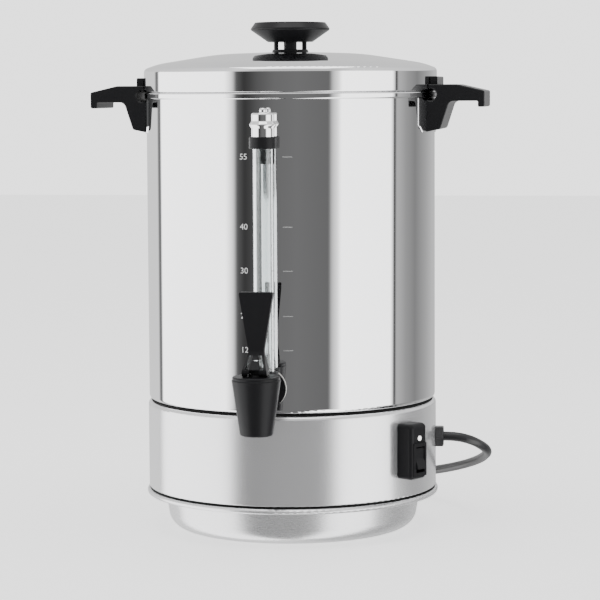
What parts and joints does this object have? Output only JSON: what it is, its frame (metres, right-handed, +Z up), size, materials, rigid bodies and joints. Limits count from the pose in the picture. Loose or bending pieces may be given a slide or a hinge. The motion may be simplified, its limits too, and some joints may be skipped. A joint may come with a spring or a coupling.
{
  "type": "coffee urn",
  "caption": "Stand-up percolating coffee urn: polished steel tank on a round heated base, domed lid with knob, side handles, sight gauge, spring-return faucet lever, power switch and cord.",
  "frame": {"origin": "on the urn's axis at the table, in the plane that the foot ring stands on", "axes": "+Z up along the urn's axis; -Y towards the faucet and gauge; +X towards the right-hand handle as seen from the faucet side"},
  "size_m": [0.3239, 0.4059, 0.4146],
  "materials": {
    "polished_steel": "mirror polished stainless steel",
    "satin_steel": "softly polished stainless steel",
    "foot_aluminium": "satin",
    "zinc_screws": "bright zinc",
    "zinc_plate": "zinc plated",
    "element_sheath": "dull heating-element sheath",
    "inner_plastic": "matte heat-proof moulding",
    "lead_sleeve": "braided glass sleeve",
    "black_plastic": "glossy moulding",
    "black_phenolic": "glossy phenolic moulding",
    "clear_rubber": "translucent silicone",
    "spring_steel": "bright stainless wire",
    "gauge_glass": "clear",
    "gauge_chrome": "polished",
    "pilot_white": "clear, lit by the lamp behind it",
    "lamp_glass": "neon lamp glass",
    "percolator_aluminium": "satin",
    "cord_rubber": "satin",
    "ring_rubber": "matte",
    "plug_brass": "bright"
  },
  "bodies": {
    "urn": {"tank": "polished_steel", "base_skirt": "satin_steel", "seam_ring": "ring_rubber", "hem_ring": "ring_rubber", "foot_pan": "foot_aluminium", "bottom_plate": "foot_aluminium", "bottom_screws": "zinc_screws", "tie_rod": "zinc_screws", "tie_nut": "zinc_screws", "pump_element": "element_sheath", "warm_element": "element_sheath", "element_clamp": "zinc_plate", "shield_spacer": "zinc_screws", "heat_shield": "foot_aluminium", "shield_nut": "zinc_screws", "thermostat": "inner_plastic", "thermal_fuse": "element_sheath", "terminal_block": "inner_plastic", "leads": "lead_sleeve", "faucet_shank": "black_plastic", "shank_gasket": "clear_rubber", "shank_washer": "clear_rubber", "shank_nut": "black_plastic", "faucet_body": "black_plastic", "faucet_bonnet": "black_plastic", "valve_spring": "spring_steel", "gauge_tube": "gauge_glass", "gauge_seals": "clear_rubber", "gauge_bracket": "black_plastic", "bracket_screw": "zinc_screws", "gauge_cap": "gauge_chrome", "handle_right": "black_phenolic", "handle_left": "black_phenolic", "handle_plate_right": "polished_steel", "handle_plate_left": "polished_steel", "handle_screws_right": "zinc_screws", "handle_screws_left": "zinc_screws", "switch_housing": "black_plastic", "switch_body": "black_plastic", "pilot_lens": "pilot_white", "pilot_lamp": "lamp_glass", "strain_relief": "cord_rubber", "cord": "cord_rubber", "cord_coil": "cord_rubber", "plug_body": "cord_rubber", "plug_blades": "plug_brass"},
    "lid": {"lid_shell": "polished_steel", "knob_plate": "black_phenolic", "lid_knob": "black_phenolic", "knob_screw": "zinc_screws"},
    "percolator": {"pump_stem": "percolator_aluminium", "stem_foot": "percolator_aluminium", "basket": "percolator_aluminium", "basket_cover": "percolator_aluminium"},
    "valve": {"valve_stem": "black_plastic", "seat_cup": "clear_rubber"},
    "lever": {"lever": "black_plastic", "lever_pin": "spring_steel"},
    "rocker": {"rocker": "black_plastic"}
  },
  "joints": [
    {"name": "lid_lift", "type": "slide", "parent": "urn", "child": "lid", "axis": [0, 0, 1], "range_m": [0, 0.3]},
    {"name": "percolator_lift", "type": "slide", "parent": "urn", "child": "percolator", "axis": [0, 0, 1], "range_m": [0, 0.264]},
    {"name": "valve_lift", "type": "slide", "parent": "urn", "child": "valve", "axis": [0, 0, 1], "range_m": [0, 0.0037], "stiffness_N_per_m": 5, "springref_m": -0.004, "deforming": ["valve_spring"]},
    {"name": "lever_tilt", "type": "hinge", "parent": "valve", "child": "lever", "pos_m": [0, -0.167, 0.1474], "axis": [1, 0, 0], "range_deg": [0, 40], "stiffness_Nm_per_rad": 0.05, "springref_deg": -11.46},
    {"name": "rocker_tilt", "type": "hinge", "parent": "urn", "child": "rocker", "pos_m": [0.10906, -0.06605, 0.0665], "axis": [0.518, 0.8554, 0], "range_deg": [0, 18]}
  ],
  "couplings": [
    {"joint": "percolator_lift", "follows": "lid_lift", "ratio": 0.88},
    {"joint": "valve_lift", "follows": "lever_tilt", "m_per_rad": 0.005}
  ]
}
